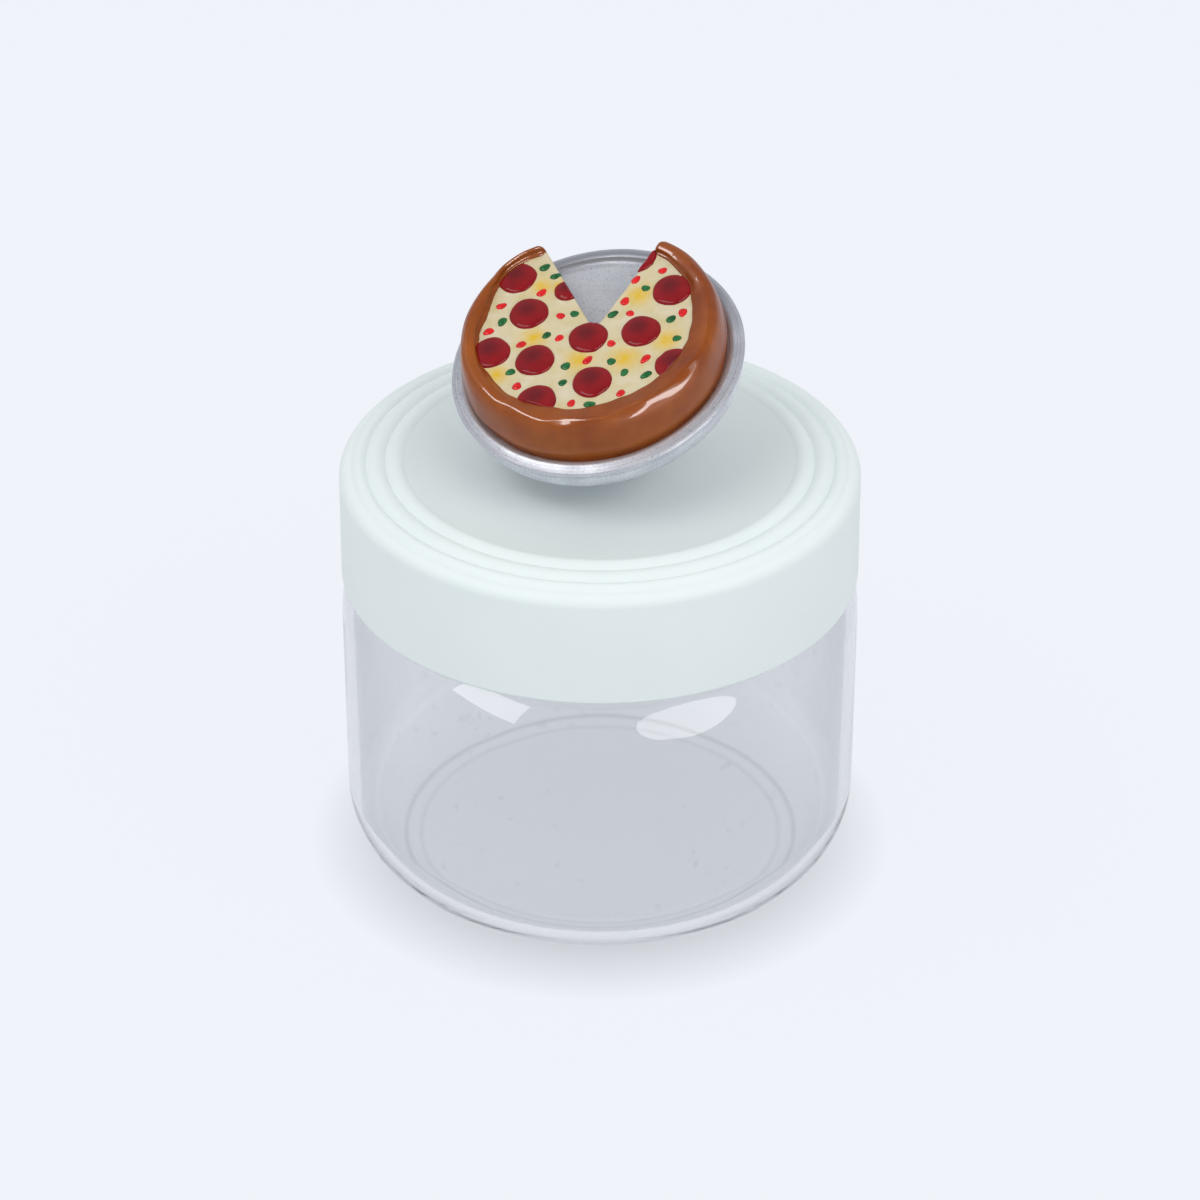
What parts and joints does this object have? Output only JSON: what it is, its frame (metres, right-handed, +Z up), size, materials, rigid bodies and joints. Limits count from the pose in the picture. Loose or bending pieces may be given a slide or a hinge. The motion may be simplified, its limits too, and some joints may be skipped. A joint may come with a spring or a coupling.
{
  "type": "kitchen canister",
  "caption": "Round glass food canister with a push-on lid, a finned gasket under it, and a tilted pizza figure in its pan on a short post as the handle.",
  "frame": {"origin": "centre of the jar's foot, on the surface it stands on", "axes": "+Z up along the jar's axis, front along -Y, +X to the right of the front view"},
  "size_m": [0.1002, 0.1002, 0.1268],
  "materials": {
    "jar_glass": "clear, fire-polished",
    "lid_plastic": "pale mint, satin gloss",
    "plug_plastic": "moulded white",
    "gasket_silicone": "milky silicone",
    "screw_steel": "zinc plated",
    "insert_brass": "turned",
    "silver_paint": "silver paint over cast resin",
    "crust_enamel": "glossy brown enamel over cast resin",
    "cheese_enamel": "glossy cream enamel over cast resin",
    "pepperoni_enamel": "glossy deep red enamel over cast resin"
  },
  "bodies": {
    "jar": {"glass_jar": "jar_glass"},
    "seal": {"lid_gasket": "gasket_silicone"},
    "lid": {"lid_shell": "lid_plastic", "lid_plug": "plug_plastic", "knob_screw": "screw_steel", "knob_washer": "screw_steel", "knob_insert": "insert_brass", "knob_post": "silver_paint", "pizza_pan": "silver_paint", "pizza_crust": "crust_enamel", "pizza_cheese": "cheese_enamel", "pepperoni_01": "pepperoni_enamel", "pepperoni_02": "pepperoni_enamel", "pepperoni_03": "pepperoni_enamel", "pepperoni_04": "pepperoni_enamel", "pepperoni_05": "pepperoni_enamel", "pepperoni_06": "pepperoni_enamel", "pepperoni_07": "pepperoni_enamel", "pepperoni_08": "pepperoni_enamel", "pepperoni_09": "pepperoni_enamel", "pepperoni_10": "pepperoni_enamel", "pepperoni_11": "pepperoni_enamel", "pepperoni_12": "pepperoni_enamel"}
  },
  "joints": [
    {"name": "lid_lift", "type": "slide", "parent": "jar", "child": "seal", "axis": [0, 0, 1], "range_m": [0, 0.06]},
    {"name": "lid_turn", "type": "hinge", "parent": "seal", "child": "lid", "pos_m": [0, 0, 0.075], "axis": [0, 0, 1], "continuous": true}
  ]
}
